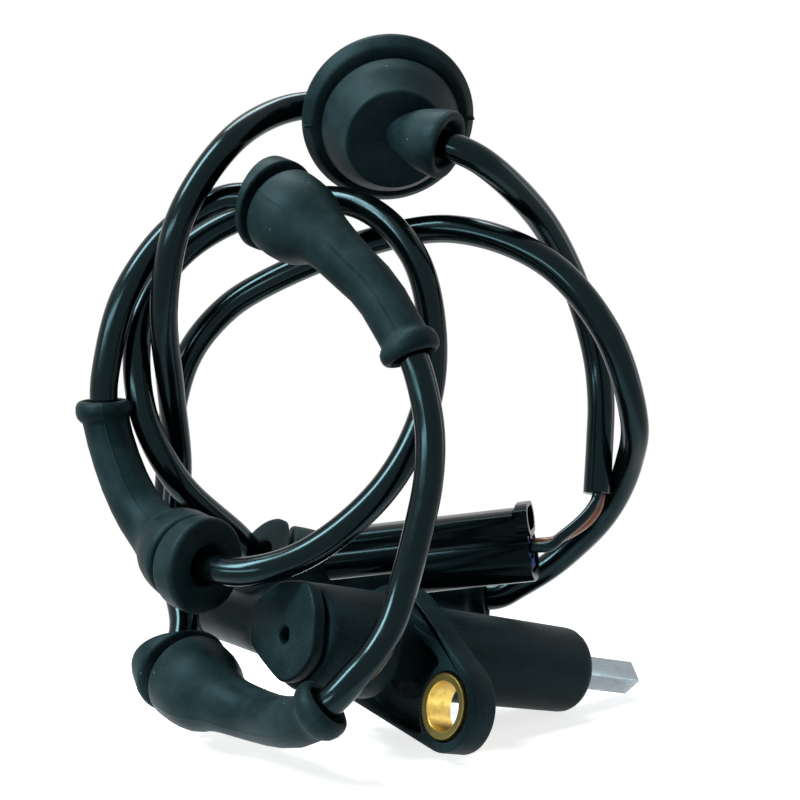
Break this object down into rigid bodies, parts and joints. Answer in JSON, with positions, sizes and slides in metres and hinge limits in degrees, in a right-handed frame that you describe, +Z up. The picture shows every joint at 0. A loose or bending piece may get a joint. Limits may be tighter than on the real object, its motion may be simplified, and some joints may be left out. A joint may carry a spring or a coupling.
{
  "type": "abs wheel speed sensor",
  "caption": "Black wheel speed sensor with a bushed mounting ear, square pole pin and a stiff coiled lead carrying rubber boots, a panel grommet and a plug.",
  "frame": {"origin": "under the middle of the sensor itself, in the plane it rests on; the lead and the pieces on it are left out of that box", "axes": "+Z up as the sensor lies in the picture; +X along the sensor's length towards the pole tip, which dips 13.7 degrees; +Y towards the lead stub"},
  "size_m": [0.0944, 0.0745, 0.1231],
  "materials": {
    "housing_plastic": "grained moulded nylon",
    "bobbin_nylon": "natural moulded nylon",
    "plug_plastic": "smooth gloss moulding",
    "jacket_plastic": "extruded jacket, glossy",
    "brown_plastic": "extruded wire insulation",
    "lock_plastic": "moulded lock",
    "boot_rubber": "matt moulded rubber with light dust",
    "seal_rubber": "soft seal rubber",
    "bush_brass": "turned and knurled",
    "winding_copper": "enamelled wire",
    "pole_steel": "drawn bar, bright",
    "magnet_iron": "sintered"
  },
  "bodies": {
    "root": {"sensor_housing": "housing_plastic", "mounting_bush": "bush_brass", "pole_pin": "pole_steel", "magnet": "magnet_iron", "coil_bobbin": "bobbin_nylon", "coil_winding": "winding_copper", "coil_terminal_1": "bush_brass", "coil_terminal_2": "bush_brass", "strain_relief": "boot_rubber", "cable_jacket": "jacket_plastic", "suspension_boot_1": "boot_rubber", "suspension_boot_2": "boot_rubber", "suspension_boot_3": "boot_rubber", "suspension_boot_4": "boot_rubber", "panel_grommet": "boot_rubber", "connector_housing": "plug_plastic", "connector_terminal_1": "bush_brass", "connector_terminal_2": "bush_brass", "wire_seal_1": "seal_rubber", "wire_seal_2": "seal_rubber", "terminal_lock": "lock_plastic", "wire_black": "jacket_plastic", "wire_brown": "brown_plastic"}
  },
  "joints": []
}
